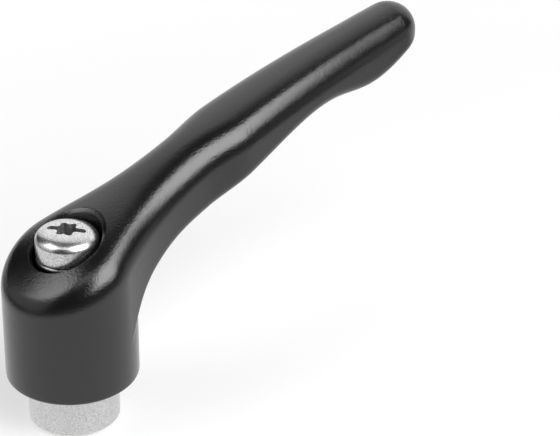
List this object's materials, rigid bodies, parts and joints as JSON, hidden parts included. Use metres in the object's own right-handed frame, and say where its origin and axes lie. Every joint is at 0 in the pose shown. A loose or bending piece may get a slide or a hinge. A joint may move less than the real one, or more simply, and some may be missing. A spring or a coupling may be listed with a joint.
{
  "type": "adjustable clamping lever",
  "caption": "Hand lever that clamps with a threaded insert. Lifted against its spring, the arm comes out of its teeth and turns to a new angle.",
  "frame": {"origin": "centre of the threaded insert's clamping face, on the thread's axis", "axes": "+Z along the thread, from the clamping face up through the hub to the screw's head; +X from the thread's axis along the arm; +Y to the left of the arm. The plane Y = 0 halves the lever"},
  "size_m": [0.0937, 0.0234, 0.0536],
  "materials": {
    "lever_coating": "semi-gloss black plastic coating with a fine orange-peel grain on die-cast zinc",
    "insert_steel": "satin turned stainless steel",
    "screw_steel": "bright stainless steel",
    "spring_steel": "drawn stainless spring wire"
  },
  "bodies": {
    "insert_body": {"threaded_insert": "insert_steel", "retaining_screw": "screw_steel"},
    "spring_body": {"return_spring": "spring_steel"},
    "lever_body": {"lever_handle": "lever_coating"}
  },
  "joints": [
    {"name": "lever_turn", "type": "hinge", "parent": "insert_body", "child": "spring_body", "pos_m": [0, 0, 0.0195], "axis": [0, 0, 1], "continuous": true},
    {"name": "lever_lift", "type": "slide", "parent": "spring_body", "child": "lever_body", "axis": [0, 0, 1], "range_m": [0, 0.0046], "stiffness_N_per_m": 2500, "springref_m": -0.0042, "deforming": ["return_spring"]}
  ]
}
